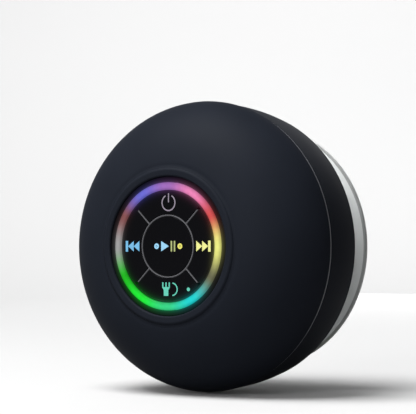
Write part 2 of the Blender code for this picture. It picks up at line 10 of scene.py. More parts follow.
import bmesh
import bpy
from mathutils import Matrix, Vector


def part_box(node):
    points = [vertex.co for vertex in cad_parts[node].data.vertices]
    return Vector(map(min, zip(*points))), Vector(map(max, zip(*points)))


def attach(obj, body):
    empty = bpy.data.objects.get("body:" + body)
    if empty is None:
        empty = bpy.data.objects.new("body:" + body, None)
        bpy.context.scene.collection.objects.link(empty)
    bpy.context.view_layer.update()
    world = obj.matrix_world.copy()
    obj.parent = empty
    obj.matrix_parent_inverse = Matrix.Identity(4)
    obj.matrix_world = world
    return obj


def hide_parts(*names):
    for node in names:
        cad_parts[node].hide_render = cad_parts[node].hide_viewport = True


bl_info = {
    "name": "Shower Speaker Looks",
    "version": (1, 0, 0),
    "blender": (4, 5, 0),
    "location": "3D View > Sidebar > Speaker",
    "description": "Fine surfaces, lit keys and finishes for a shower speaker",
    "category": "Object",
}

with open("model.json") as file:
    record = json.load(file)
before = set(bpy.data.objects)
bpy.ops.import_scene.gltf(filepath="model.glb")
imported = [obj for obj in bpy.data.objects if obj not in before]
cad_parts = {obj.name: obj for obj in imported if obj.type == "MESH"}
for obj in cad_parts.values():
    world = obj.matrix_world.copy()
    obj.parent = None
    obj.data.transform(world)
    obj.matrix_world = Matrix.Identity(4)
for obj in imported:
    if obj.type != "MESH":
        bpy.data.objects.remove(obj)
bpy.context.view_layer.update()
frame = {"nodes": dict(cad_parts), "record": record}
MM = 0.001


def reach(node, axis=0):
    """How far a node comes out to the +X side (axis 0) in millimetres, or out from the wall (axis 1)."""
    low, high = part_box(node)
    return (high.x if axis == 0 else -low.y) / MM


def start(node):
    """How far from the wall a node begins, in millimetres."""
    return -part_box(node)[1].y / MM


RIM_RADIUS = reach("front_shell")
DOME_TOP = 54.0
RIM_HEIGHT = start("seam_gasket") + 0.7
BAND_RADIUS = reach("rear_shell")
BAND_TOP = start("seam_gasket") - 0.3
CUP_RADIUS = reach("suction_cup")
PANEL_FACE = reach("key_frame", 1)
LIGHT_OUTER = reach("light_ring")
LIGHT_INNER = 16.7
FIELD_RADIUS = 15.95
LINE_RADIUS = 9.1
BEZEL_CREST = reach("panel_surround", 1)
KEY_FOOT = start("play_key")
OUTER_KEYS = (("next_key", 0.0), ("power_key", 90.0), ("previous_key", 180.0), ("call_key", 270.0))

# Turns a prism that runs out from the wall so that it runs out to the -X side, as the port does.
TO_PORT = Matrix(((0, 1, 0, 0), (-1, 0, 0, 0), (0, 0, 1, 0), (0, 0, 0, 1)))

# Plain hues of the light ring as sRGB, at the twelve clock positions from 3 o'clock backwards.
RING_HUES = {
    "yellow": (0.9, 0.9, 0.5),
    "red": (0.8, 0.3, 0.3),
    "pink": (0.9, 0.5, 0.7),
    "violet": (0.6, 0.4, 0.7),
    "blue": (0.4, 0.4, 0.8),
    "salmon": (0.5, 0.3, 0.3),
    "white": (0.6, 0.6, 0.6),
    "leaf_green": (0.1, 0.7, 0.1),
    "bright_green": (0.1, 0.9, 0.2),
    "mint": (0.2, 0.8, 0.5),
    "cyan": (0.1, 0.8, 0.8),
    "olive": (0.4, 0.4, 0.3),
}

ICON_COLOURS = {
    "power_key": (0.52, 0.48, 0.54),
    "previous_key": (0.38, 0.66, 0.82),
    "next_key": (0.86, 0.86, 0.50),
    "call_key": (0.30, 0.74, 0.64),
    "play_blue": (0.54, 0.77, 0.90),
    "play_green": (0.62, 0.66, 0.40),
    "play_yellow": (0.86, 0.84, 0.36),
}


# ---------------------------------------------------------------- colours and node helpers


def linear(colour):
    """An sRGB colour as the linear RGBA that shaders take."""
    return (*[c / 12.92 if c <= 0.04045 else ((c + 0.055) / 1.055) ** 2.4 for c in colour], 1.0)


def new_material(name, colour, roughness, metallic=0.0, **values):
    """A Principled material; `values` are further socket values, named by the socket with underscores."""
    made = bpy.data.materials.new(name)
    made.use_nodes = True
    surface = made.node_tree.nodes["Principled BSDF"]
    surface.inputs["Base Color"].default_value = linear(colour)
    surface.inputs["Roughness"].default_value = roughness
    surface.inputs["Metallic"].default_value = metallic
    for key, value in values.items():
        surface.inputs[key.replace("_", " ")].default_value = value
    made.diffuse_color = linear(colour)
    return made


def node(material, kind, **settings):
    made = material.node_tree.nodes.new(f"ShaderNode{kind}")
    for key, value in settings.items():
        setattr(made, key, value)
    return made


def link(material, source, target):
    material.node_tree.links.new(source, target)


def surface_of(material):
    return material.node_tree.nodes["Principled BSDF"]


def object_place(material):
    return node(material, "TexCoord").outputs["Object"]


def math_node(material, operation, first, second=None, third=None, clamp=False):
    """A Math node on sockets or plain numbers; returns its output."""
    made = node(material, "Math", operation=operation, use_clamp=clamp)
    for socket, value in zip(made.inputs, (first, second, third)):
        if value is None:
            continue
        if isinstance(value, (int, float)):
            socket.default_value = value
        else:
            link(material, value, socket)
    return made.outputs[0]


def noise(material, size, detail=3.0, stretch=(1.0, 1.0, 1.0)):
    """Noise with blotches of about `size` millimetres, stretched by these factors along X, Y and Z."""
    place = node(material, "Mapping")
    place.inputs["Scale"].default_value = stretch
    link(material, object_place(material), place.inputs["Vector"])
    made = node(material, "TexNoise")
    made.inputs["Scale"].default_value = 1.0 / (size * MM)
    made.inputs["Detail"].default_value = detail
    link(material, place.outputs["Vector"], made.inputs["Vector"])
    return made.outputs["Fac"]


def ranged(material, value, low, high):
    """Maps a 0 to 1 value to low to high."""
    made = node(material, "MapRange")
    made.inputs["To Min"].default_value = low
    made.inputs["To Max"].default_value = high
    link(material, value, made.inputs["Value"])
    return made.outputs["Result"]


def vary_roughness(material, value, low, high):
    link(material, ranged(material, value, low, high), surface_of(material).inputs["Roughness"])


def vary_colour(material, value, dark, light):
    mix = node(material, "Mix", data_type="RGBA")
    mix.inputs[6].default_value = linear(dark)
    mix.inputs[7].default_value = linear(light)
    link(material, value, mix.inputs[0])
    link(material, mix.outputs[2], surface_of(material).inputs["Base Color"])


def add_bump(material, value, depth, strength=1.0):
    """Bump of `depth` millimetres."""
    made = node(material, "Bump")
    made.inputs["Distance"].default_value = depth * MM
    made.inputs["Strength"].default_value = strength
    link(material, value, made.inputs["Height"])
    link(material, made.outputs["Normal"], surface_of(material).inputs["Normal"])


def radius_and_turn(material):
    """Distance from the speaker's axis in millimetres, and the turn round it from the +X side, 0 to 1."""
    split = node(material, "SeparateXYZ")
    link(material, object_place(material), split.inputs[0])
    x, z = split.outputs["X"], split.outputs["Z"]
    flat = math_node(material, "ADD", math_node(material, "MULTIPLY", x, x), math_node(material, "MULTIPLY", z, z))
    radius = math_node(material, "MULTIPLY", math_node(material, "SQRT", flat), 1.0 / MM)
    angle = math_node(material, "DIVIDE", math_node(material, "ARCTAN2", z, x), 2.0 * math.pi)
    return radius, math_node(material, "FRACT", math_node(material, "ADD", angle, 1.0))


def rainbow(material, turn):
    """The light ring's colour at each turn from 0 to 1, its hues evenly spaced and blended."""
    ramp = node(material, "ValToRGB")
    ramp.color_ramp.interpolation = "EASE"
    stops = ramp.color_ramp.elements
    hues = [*RING_HUES.values(), RING_HUES["yellow"]]
    entries = [(step / len(RING_HUES), hue) for step, hue in enumerate(hues)]
    stops[0].position, stops[0].color = entries[0][0], linear(entries[0][1])
    stops[1].position, stops[1].color = entries[-1][0], linear(entries[-1][1])
    for position, colour in entries[1:-1]:
        stops.new(position).color = linear(colour)
    link(material, turn, ramp.inputs["Fac"])
    return ramp.outputs["Color"]


# ---------------------------------------------------------------- finishes


def soft_touch_finish():
    colours = bpy.context.scene.speaker_colours
    made = new_material("soft_touch_black", colours.body, 0.5, Specular_IOR_Level=0.01)
    cloud = noise(made, 14.0, 4.0)
    dark = [c * 0.92 for c in colours.body]
    light = [c * 1.08 for c in colours.body]
    vary_colour(made, cloud, dark, light)
    grain = noise(made, 0.35, 2.0)
    vary_roughness(made, cloud, 0.5, 0.58)
    add_bump(made, grain, 0.012, 0.5)
    return made


def smoked_panel_finish():
    """Gloss black, with the light ring's glow showing faintly through it on both sides of the ring."""
    colours, light = bpy.context.scene.speaker_colours, bpy.context.scene.speaker_light
    made = new_material("smoked_gloss_black", colours.panel, 0.08, Specular_IOR_Level=0.012)
    radius, turn = radius_and_turn(made)
    middle = (LIGHT_INNER + LIGHT_OUTER) / 2
    past = math_node(made, "SUBTRACT", math_node(made, "ABSOLUTE", math_node(made, "SUBTRACT", radius, middle)),
                     LIGHT_OUTER - middle)
    fade = math_node(made, "EXPONENT", math_node(made, "DIVIDE", math_node(made, "MAXIMUM", past, 0.0),
                                                 -light.glow_reach / MM))
    glow = math_node(made, "MULTIPLY", fade, light.glow)
    link(made, rainbow(made, turn), surface_of(made).inputs["Emission Color"])
    link(made, glow, surface_of(made).inputs["Emission Strength"])
    vary_roughness(made, noise(made, 3.0, 5.0), 0.06, 0.14)
    return made


def light_finish():
    """Milky diffuser lit from behind by a ring of coloured lamps, a little brighter along its middle."""
    light = bpy.context.scene.speaker_light
    made = new_material("lit_diffuser", (0.02, 0.02, 0.02), 0.3, Specular_IOR_Level=0.02)
    radius, turn = radius_and_turn(made)
    middle = (LIGHT_INNER + LIGHT_OUTER) / 2
    off = math_node(made, "DIVIDE", math_node(made, "SUBTRACT", radius, middle), LIGHT_OUTER - middle)
    drop = math_node(made, "MULTIPLY", math_node(made, "MULTIPLY", off, off), 0.4)
    falloff = math_node(made, "SUBTRACT", 1.12, drop)
    cloud = ranged(made, noise(made, 1.6, 2.0), 0.85, 1.15)
    strength = math_node(made, "MULTIPLY", math_node(made, "MULTIPLY", falloff, cloud), light.ring_strength)
    link(made, rainbow(made, turn), surface_of(made).inputs["Emission Color"])
    link(made, strength, surface_of(made).inputs["Emission Strength"])
    return made


def line_finish():
    """Thin grey lines that take a little of the light round them."""
    colours = bpy.context.scene.speaker_colours
    made = new_material("key_line_grey", colours.lines, 0.45, Specular_IOR_Level=0.1)
    surface_of(made).inputs["Emission Color"].default_value = linear((0.8, 0.8, 0.82))
    link(made, ranged(made, noise(made, 4.0), 0.04, 0.09), surface_of(made).inputs["Emission Strength"])
    vary_roughness(made, noise(made, 0.8), 0.4, 0.55)
    return made


def icon_finish(name, colour):
    light = bpy.context.scene.speaker_light
    made = new_material(f"lit_icon_{name}", [c * 0.4 for c in colour], 0.3)
    surface_of(made).inputs["Emission Color"].default_value = linear(colour)
    cloud = ranged(made, noise(made, 1.3, 1.0), 0.72, 1.12)
    strength = math_node(made, "MULTIPLY", cloud, light.icon_strength)
    link(made, strength, surface_of(made).inputs["Emission Strength"])
    return made


def cup_finish():
    colours = bpy.context.scene.speaker_colours
    made = new_material("pale_vinyl", colours.cup, 0.3, Transmission_Weight=0.4, IOR=1.45)
    surface_of(made).inputs["Subsurface Weight"].default_value = 0.6
    surface_of(made).inputs["Subsurface Scale"].default_value = 4.0 * MM
    surface_of(made).inputs["Subsurface Radius"].default_value = (1.0, 1.0, 0.95)
    radius, turn = radius_and_turn(made)
    # Painted shade: the lip's outer 0.75 mm is painted darker, a dark line along the cup's edge where it turns away
    # from the light.
    edge = math_node(made, "GREATER_THAN", radius, CUP_RADIUS - 0.75)
    vary_colour(made, edge, colours.cup, [c * 0.6 for c in colours.cup])
    streaks = noise(made, 1.2, 3.0, (1.0, 1.0, 0.25))
    vary_roughness(made, streaks, 0.26, 0.4)
    add_bump(made, noise(made, 2.5, 3.0), 0.02, 0.4)
    return made


def rubber_finish():
    made = new_material("black_rubber", (0.08, 0.085, 0.095), 0.75, Specular_IOR_Level=0.06)
    vary_roughness(made, noise(made, 2.0), 0.68, 0.85)
    add_bump(made, noise(made, 0.25, 2.0), 0.02, 0.6)
    return made


def plastic_finish(name, colour):
    made = new_material(name, colour, 0.55)
    vary_colour(made, noise(made, 6.0), [c * 0.93 for c in colour], [c * 1.05 for c in colour])
    add_bump(made, noise(made, 0.3, 2.0), 0.015, 0.6)
    return made


def steel_finish(name="plated_steel", colour=(0.76, 0.76, 0.78)):
    made = new_material(name, colour, 0.28, 1.0)
    streaks = noise(made, 0.6, 4.0, (1.0, 6.0, 1.0))
    vary_roughness(made, streaks, 0.2, 0.42)
    vary_colour(made, noise(made, 5.0), [c * 0.92 for c in colour], colour)
    return made


def board_finish():
    """Green lacquer over copper tracks."""
    made = new_material("board_lacquer", (0.05, 0.32, 0.18), 0.32, Coat_Weight=0.4)
    cells = node(made, "TexVoronoi", feature="DISTANCE_TO_EDGE", distance="CHEBYCHEV")
    cells.inputs["Scale"].default_value = 1.0 / (2.4 * MM)
    link(made, object_place(made), cells.inputs["Vector"])
    track = math_node(made, "LESS_THAN", cells.outputs["Distance"], 0.07)
    vary_colour(made, track, (0.05, 0.32, 0.18), (0.13, 0.46, 0.26))
    add_bump(made, track, 0.02)
    return made


def cloth_finish(name, dark, light, size):
    """Plain weave with threads `size` millimetres apart."""
    made = new_material(name, light, 0.9, Specular_IOR_Level=0.2)
    waves = []
    for direction in ("X", "Z"):
        wave = node(made, "TexWave", bands_direction=direction)
        wave.inputs["Scale"].default_value = 0.32 / (size * MM)
        wave.inputs["Distortion"].default_value = 0.3
        link(made, object_place(made), wave.inputs["Vector"])
        waves.append(wave.outputs["Fac"])
    weave = math_node(made, "MULTIPLY", *waves)
    vary_colour(made, weave, dark, light)
    add_bump(made, weave, 0.08)
    return made


def coil_finish():
    """Fine copper wire wound round the axis."""
    made = new_material("copper_winding", (0.80, 0.44, 0.25), 0.3, 1.0)
    wave = node(made, "TexWave", bands_direction="Y")
    wave.inputs["Scale"].default_value = 0.32 / (0.22 * MM)
    link(made, object_place(made), wave.inputs["Vector"])
    vary_colour(made, wave.outputs["Fac"], (0.45, 0.20, 0.10), (0.86, 0.50, 0.30))
    add_bump(made, wave.outputs["Fac"], 0.06)
    return made


def wrap_finish():
    made = new_material("battery_wrap", (0.30, 0.50, 0.72), 0.35, Coat_Weight=0.3)
    vary_colour(made, noise(made, 9.0), (0.27, 0.47, 0.69), (0.33, 0.54, 0.75))
    add_bump(made, noise(made, 3.0, 4.0, (1.0, 1.0, 0.3)), 0.08)
    return made


def lens_finish():
    made = new_material("lamp_resin", (0.90, 0.88, 0.78), 0.2, Coat_Weight=0.5)
    vary_colour(made, noise(made, 0.8), (0.84, 0.80, 0.62), (0.94, 0.93, 0.88))
    return made


# ---------------------------------------------------------------- shapes


def around(radius, degrees):
    angle = math.radians(degrees)
    return radius * math.cos(angle), radius * math.sin(angle)


def rounded(corners, segments=5, hold=0.05, closed=True):
    """Points round an outline of (x, y, fillet) corners: an arc at each fillet, with a close point on
    each side of it that keeps the flats flat when they are shaded smooth."""
    points = []
    count = len(corners)
    for i, (x, y, fillet) in enumerate(corners):
        here = Vector((x, y))
        if not fillet or (not closed and i in (0, count - 1)):
            points.append((x, y))
            continue
        before = Vector(corners[i - 1][:2]) - here
        after = Vector(corners[(i + 1) % count][:2]) - here
        half = before.angle(after) / 2
        room = 0.48 * min(before.length, after.length)
        back = min(fillet / math.tan(half), room)
        radius = back * math.tan(half)
        u, v = before.normalized(), after.normalized()
        centre = here + (u + v).normalized() * (radius / math.sin(half))
        first, last = here + u * back - centre, here + v * back - centre
        sweep = first.angle_signed(last)
        if back + hold < room:
            points.append(tuple(here + u * (back + hold)))
        for step in range(segments + 1):
            spoke = first.copy()
            spoke.rotate(Matrix.Rotation(-sweep * step / segments, 2))
            points.append(tuple(centre + spoke))
        if back + hold < room:
            points.append(tuple(here + v * (back + hold)))
    return points


def superellipse(side, base, rise, from_radius, steps, side_power=3.67, top_power=1.65):
    """(radius, height) points down the dome, from `from_radius` to its foot."""
    first = math.acos((from_radius / side) ** (side_power / 2))
    points = []
    for step in range(steps + 1):
        angle = first * (1 - step / steps)
        radius = side * math.cos(angle) ** (2 / side_power)
        points.append((radius, base + rise * math.sin(angle) ** (2 / top_power)))
    return points


def new_piece(name, data, body, material, replaced=()):
    made = bpy.data.objects.new(name, data)
    bpy.context.scene.collection.objects.link(made)
    data.materials.clear()
    data.materials.append(material)
    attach(made, body)
    if replaced:
        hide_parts(*replaced)
    return made


def turned(name, outline, body, material, replaced=(), closed=True):
    """Turns (radius, height) points about the speaker's axis. They run down the outer side, from the
    front towards the wall; an open outline starts and ends on the axis."""
    mesh = bpy.data.meshes.new(name)
    points = [(radius * MM, -height * MM, 0.0) for radius, height in reversed(outline)]
    edges = [(i, i + 1) for i in range(len(points) - 1)]
    if closed:
        edges.append((len(points) - 1, 0))
    mesh.from_pydata(points, edges, [])
    made = new_piece(name, mesh, body, material, replaced)
    screw = made.modifiers.new("turn", "SCREW")
    screw.axis = "Y"
    screw.steps = screw.render_steps = bpy.context.scene.speaker_sizes.turned_steps
    screw.use_merge_vertices = True
    screw.merge_threshold = 1e-6
    screw.use_smooth_shade = True
    return made


def apply_stack(piece):
    """Turns the piece's modifiers into plain mesh."""
    bpy.context.view_layer.update()
    graph = bpy.context.evaluated_depsgraph_get()
    mesh = bpy.data.meshes.new_from_object(piece.evaluated_get(graph))
    piece.modifiers.clear()
    old = piece.data
    piece.data = mesh
    bpy.data.meshes.remove(old)


def cutter(name, solids):
    """One helper mesh of closed prisms. Each solid is (outline in X and Z, low height, high height)."""
    shape = bmesh.new()
    for outline, low, high in solids:
        foot = [shape.verts.new((x * MM, -low * MM, z * MM)) for x, z in outline]
        top = [shape.verts.new((x * MM, -high * MM, z * MM)) for x, z in outline]
        shape.faces.new(foot)
        shape.faces.new(reversed(top))
        for i in range(len(outline)):
            j = (i + 1) % len(outline)
            shape.faces.new((foot[j], foot[i], top[i], top[j]))
    bmesh.ops.recalc_face_normals(shape, faces=shape.faces)
    mesh = bpy.data.meshes.new(name)
    shape.to_mesh(mesh)
    shape.free()
    made = bpy.data.objects.new(name, mesh)
    bpy.context.scene.collection.objects.link(made)
    return made


def boolean(piece, helpers, operation="DIFFERENCE"):
    """Cuts or joins helper meshes, applies the result and removes them."""
    for helper in helpers:
        modifier = piece.modifiers.new("boolean", "BOOLEAN")
        modifier.operation = operation
        modifier.object = helper
    apply_stack(piece)
    for helper in helpers:
        bpy.data.objects.remove(helper)


def plate(name, outlines, low, high, body, material, replaced=(), edge=0.0):
    """A flat plate facing out from the wall between two heights, with its edges rounded by `edge`."""
    shape = bmesh.new()
    for outline in outlines:
        shape.faces.new([shape.verts.new((x * MM, -high * MM, z * MM)) for x, z in outline])
    for face in shape.faces:
        face.normal_update()
        if face.normal.y > 0:
            face.normal_flip()
    mesh = bpy.data.meshes.new(name)
    shape.to_mesh(mesh)
    shape.free()
    made = new_piece(name, mesh, body, material, replaced)
    wall = made.modifiers.new("thickness", "SOLIDIFY")
    wall.thickness = (high - low) * MM
    wall.offset = -1.0
    if edge:
        bevel = made.modifiers.new("soft edge", "BEVEL")
        bevel.width = edge * MM
        bevel.segments = 3
        bevel.limit_method = "ANGLE"
        bevel.angle_limit = math.radians(50.0)
        bevel.use_clamp_overlap = True
    return made


def circle(x, z, radius, steps=32):
    return [(x + dx, z + dz) for dx, dz in (around(radius, 360.0 * i / steps) for i in range(steps))]


def capsule(length, width, middle, degrees, steps=8):
    """A round-ended slot, `middle` from the axis and lying along the radius at this angle."""
    points = []
    for end, first in ((1, -90.0), (-1, 90.0)):
        for step in range(steps + 1):
            x, z = around(width / 2, first + 180.0 * step / steps)
            points.append((middle + end * (length - width) / 2 + x, z))
    turn = Matrix.Rotation(math.radians(degrees), 2)
    return [tuple(turn @ Vector(point)) for point in points]


def rectangle(width, depth, x=0.0, z=0.0):
    return [(x + sx * width / 2, z + sz * depth / 2) for sx, sz in ((1, 1), (-1, 1), (-1, -1), (1, -1))]


def arc_band(x, z, radius, width, first, last, steps=28):
    """A curved stroke with square ends."""
    outer = [around(radius + width / 2, first + (last - first) * i / steps) for i in range(steps + 1)]
    inner = [around(radius - width / 2, last + (first - last) * i / steps) for i in range(steps + 1)]
    return [(x + dx, z + dz) for dx, dz in outer + inner]


def sector(inner, outer, gap, corner, degrees, steps=20):
    """A quarter of a ring kept `gap` clear of the lines on its sides, with rounded corners."""
    corners = []
    for radius, first in ((outer, -1), (inner, 1)):
        half = 45.0 - math.degrees(math.asin(gap / radius))
        for step in range(steps + 1):
            x, z = around(radius, first * half * (1 - 2 * step / steps))
            corners.append((x, z, corner if step in (0, steps) else 0.0))
    turn = Matrix.Rotation(math.radians(degrees), 2)
    return [tuple(turn @ Vector(point)) for point in rounded(corners, 4, 0.0)]


# ---------------------------------------------------------------- settings


class SpeakerSizes(bpy.types.PropertyGroup):
    turned_steps: bpy.props.IntProperty(
        name="Turned steps", description="Sides of each turned shape", default=160, min=32, max=256)
    shell_wall: bpy.props.FloatProperty(
        name="Shell wall", description="Thickness of the front shell", default=2.3 * MM, unit="LENGTH")
    line_width: bpy.props.FloatProperty(
        name="Line width", description="Width of the thin lines between the keys", default=0.3 * MM, unit="LENGTH")
    icon_height: bpy.props.FloatProperty(
        name="Icon height", description="How far the key symbols stand proud", default=0.05 * MM, unit="LENGTH")


class SpeakerColours(bpy.types.PropertyGroup):
    body: bpy.props.FloatVectorProperty(
        name="Body", description="Soft-touch shells, as sRGB", subtype="COLOR_GAMMA", default=(0.052, 0.06, 0.078))
    panel: bpy.props.FloatVectorProperty(
        name="Panel", description="Gloss keys and panel ring, as sRGB", subtype="COLOR_GAMMA",
        default=(0.018, 0.018, 0.022))
    lines: bpy.props.FloatVectorProperty(
        name="Lines", description="Thin lines between the keys, as sRGB", subtype="COLOR_GAMMA",
        default=(0.16, 0.16, 0.17))
    cup: bpy.props.FloatVectorProperty(
        name="Cup", description="Suction cup, as sRGB", subtype="COLOR_GAMMA", default=(0.68, 0.69, 0.69))


class SpeakerLight(bpy.types.PropertyGroup):
    ring_strength: bpy.props.FloatProperty(
        name="Ring strength", description="Brightness of the light ring", default=1.0, min=0.0)
    icon_strength: bpy.props.FloatProperty(
        name="Icon strength", description="Brightness of the key symbols", default=0.8, min=0.0)
    glow: bpy.props.FloatProperty(
        name="Glow", description="Light that leaks into the panel beside the ring", default=0.22, min=0.0)
    glow_reach: bpy.props.FloatProperty(
        name="Glow reach", description="Distance in which the leaking light fades", default=0.6 * MM, unit="LENGTH")


# ---------------------------------------------------------------- pieces


class SPEAKER_OT_front_shell(bpy.types.Operator):
    """Domed front shell with its wall, tongue and screw posts"""

    bl_idname = "speaker.front_shell"
    bl_label = "Front Shell"

    def execute(self, context):
        wall = context.scene.speaker_sizes.shell_wall / MM
        opening, tongue, bore, foot = 23.16, 41.3, 40.1, start("front_shell") + 6.3
        outside = superellipse(RIM_RADIUS, RIM_HEIGHT, DOME_TOP - RIM_HEIGHT, opening + 1.3, 48)
        outside = [*sweep_up(outside[0], (opening, BEZEL_CREST - 0.37), 10), *outside]
        inside = superellipse(RIM_RADIUS - wall, RIM_HEIGHT, DOME_TOP - RIM_HEIGHT - wall, opening, 32)
        outside = [point for point in outside if point[1] > RIM_HEIGHT + 0.9]
        inside = [point for point in inside if point[0] < bore - 0.3]
        rim = rounded([
            (*outside[-1], 0.0),
            (RIM_RADIUS, RIM_HEIGHT + 0.6, 0.0),
            (RIM_RADIUS, RIM_HEIGHT, 0.35),
            (tongue, RIM_HEIGHT, 0.0),
            (tongue, foot, 0.3),
            (bore, foot, 0.3),
            (bore, RIM_HEIGHT + 5.0, 0.0),
        ], closed=False)
        outline = [*outside[:-1], *rim, *reversed(inside)]
        shell = turned("front_dome", outline, "speaker", FINISH["soft_touch"],
                       ["front_shell"])
        apply_stack(shell)
        posts = [(circle(*around(36.0, angle), 2.4), 24.3, 44.0) for angle in (90.0, 210.0, 330.0)]
        holes = [(circle(*around(36.0, angle), 1.15), 22.0, 33.0) for angle in (90.0, 210.0, 330.0)]
        boolean(shell, [cutter("posts", posts)], "UNION")
        boolean(shell, [cutter("pilot_holes", holes)])
        shade_by_angle(shell)
        return {"FINISHED"}


def sweep_up(foot, top, steps):
    """A hollow curve of (radius, height) points from `top`, steep there, down to a level `foot`."""
    points = []
    for step in range(steps):
        share = step / steps
        points.append((top[0] + (foot[0] - top[0]) * share, foot[1] + (top[1] - foot[1]) * (1 - share) ** 2.2))
    return points


class SPEAKER_OT_rear_shell(bpy.types.Operator):
    """Rear shell with its barrelled side, sound slots, screw seats and charging port"""

    bl_idname = "speaker.rear_shell"
    bl_label = "Rear Shell"

    def execute(self, context):
        shell = turned("rear_housing", rear_outline(), "speaker", FINISH["soft_touch"],
                       ["rear_shell"])
        apply_stack(shell)
        bosses = [(circle(*around(36.0, angle), 3.0), 17.2, 24.0) for angle in (90.0, 210.0, 330.0)]
        boolean(shell, [cutter("bosses", bosses)], "UNION")
        turns = [360.0 * (i + 0.5) / 16 for i in range(16)]
        slots = [(capsule(15.2, 2.4, 23.6, turn), 10.0, 22.0) for turn in turns]
        lips = [(capsule(15.8, 3.0, 23.6, turn), 10.0, 16.45) for turn in turns]
        seats = [(circle(*around(36.0, angle), 2.4), 10.0, 19.4) for angle in (90.0, 210.0, 330.0)]
        bores = [(circle(*around(36.0, angle), 1.3), 12.0, 26.0) for angle in (90.0, 210.0, 330.0)]
        boolean(shell, [cutter("slots", slots)])
        boolean(shell, [cutter("slot_lips", lips)])
        boolean(shell, [cutter("seats", seats)])
        boolean(shell, [cutter("bores", bores)])
        boolean(shell, [port_cutter("mouth", 9.4, 3.8, 1.8, 36.0, 46.0)])
        boolean(shell, [port_cutter("seat", 13.2, 8.6, 2.2, 41.8, 47.0)])
        shade_by_angle(shell)
        return {"FINISHED"}


def band_points(steps=16, inset=0.0):
    """(radius, height) points down the rear shell's side, which bulges a little."""
    low = start("rear_shell") + 4.2 + 0.9
    points = []
    for step in range(steps + 1):
        share = step / steps
        points.append((BAND_RADIUS - 1.25 * share**2.5 - inset, BAND_TOP + (low - BAND_TOP) * share))
    return points


def rear_outline():
    back = start("rear_shell") + 4.2
    side = band_points()
    rest = rounded([
        (*side[-1], 0.0),
        (side[-1][0] - 0.1, back, 0.7),
        (33.5, back, 0.25),
        (33.0, back + 1.0, 0.25),
        (12.5, back + 1.0, 0.8),
        (12.5, back - 4.2, 0.5),
        (4.2, back - 4.2, 0.3),
        (4.2, 13.0, 0.0),
        (8.0, 13.0, 0.0),
        (8.0, 18.2, 0.3),
        (40.5, 18.2, 1.2),
        (40.5, 30.3, 0.0),
        (41.6, 30.3, 0.0),
        (41.6, BAND_TOP, 0.0),
        (*side[0], 0.35),
        (*side[1], 0.0),
    ], closed=False)
    return [*side[2:-1], *rest]


def port_cutter(name, width, depth, fillet, low, high):
    """A rounded prism along the port's axis, which runs out to the -X side."""
    corners = [(x, z, fillet) for x, z in rectangle(depth, width, 24.4, 0.0)]
    made = cutter(name, [(rounded(corners, 5, 0.0), low, high)])
    made.data.transform(TO_PORT)
    return made


def shade_by_angle(piece, degrees=35.0):
    piece.data.shade_smooth()
    piece.data.set_sharp_from_angle(angle=math.radians(degrees))


class SPEAKER_OT_seam_gasket(bpy.types.Operator):
    """Thin seal that shows in the seam between the shells, painted a paler grey than them as a highlight line along
    the seam
    """

    bl_idname = "speaker.seam_gasket"
    bl_label = "Seam Gasket"

    def execute(self, context):
        low, high = BAND_TOP + 0.05, RIM_HEIGHT - 0.05
        outer = BAND_RADIUS + 0.05
        outline = rounded([(outer, high, 0.25), (outer, low, 0.25), (41.7, low, 0.0), (41.7, high, 0.0)], 4)
        turned("rim_seal", outline, "speaker", FINISH["seam"], ["seam_gasket"])
        return {"FINISHED"}


class SPEAKER_OT_bezel(bpy.types.Operator):
    """Raised, rounded ring round the control panel"""

    bl_idname = "speaker.bezel"
    bl_label = "Bezel"

    def execute(self, context):
        outline = rounded([
            (20.55, BEZEL_CREST, 0.75),
            (22.45, BEZEL_CREST, 0.9),
            (23.13, BEZEL_CREST - 0.38, 0.0),
            (23.13, 50.0, 0.0),
            (20.6, 50.0, 0.0),
            (20.5, BEZEL_CREST - 1.2, 0.1),
        ], 10, 0.03)
        turned("panel_bezel", outline, "speaker", FINISH["soft_touch"], ["panel_surround"])
        return {"FINISHED"}


class SPEAKER_OT_panel_ring(bpy.types.Operator):
    """Gloss ring outside the light, with the flange that clips under the front shell"""

    bl_idname = "speaker.panel_ring"
    bl_label = "Panel Ring"

    def execute(self, context):
        bore = LIGHT_OUTER + 0.12
        outline = rounded([
            (bore, PANEL_FACE, 0.12),
            (20.4, PANEL_FACE, 0.15),
            (20.4, 49.4, 0.0),
            (26.0, 49.4, 0.2),
            (26.0, 48.2, 0.2),
            (bore, 48.2, 0.0),
        ], 4)
        turned("panel_ring", outline, "speaker", FINISH["smoked_panel"], ["panel_carrier"])
        return {"FINISHED"}


class SPEAKER_OT_light_ring(bpy.types.Operator):
    """Crowned diffuser of the rainbow light"""

    bl_idname = "speaker.light_ring"
    bl_label = "Light Ring"

    def execute(self, context):
        top = reach("light_ring", 1)
        outline = rounded([
            (LIGHT_OUTER, top, 0.3),
            (LIGHT_OUTER, 47.6, 0.0),
            (LIGHT_INNER, 47.6, 0.0),
            (LIGHT_INNER, top, 0.3),
        ], 6)
        turned("light_diffuser", outline, "speaker", FINISH["light"], ["light_ring"])
        return {"FINISHED"}


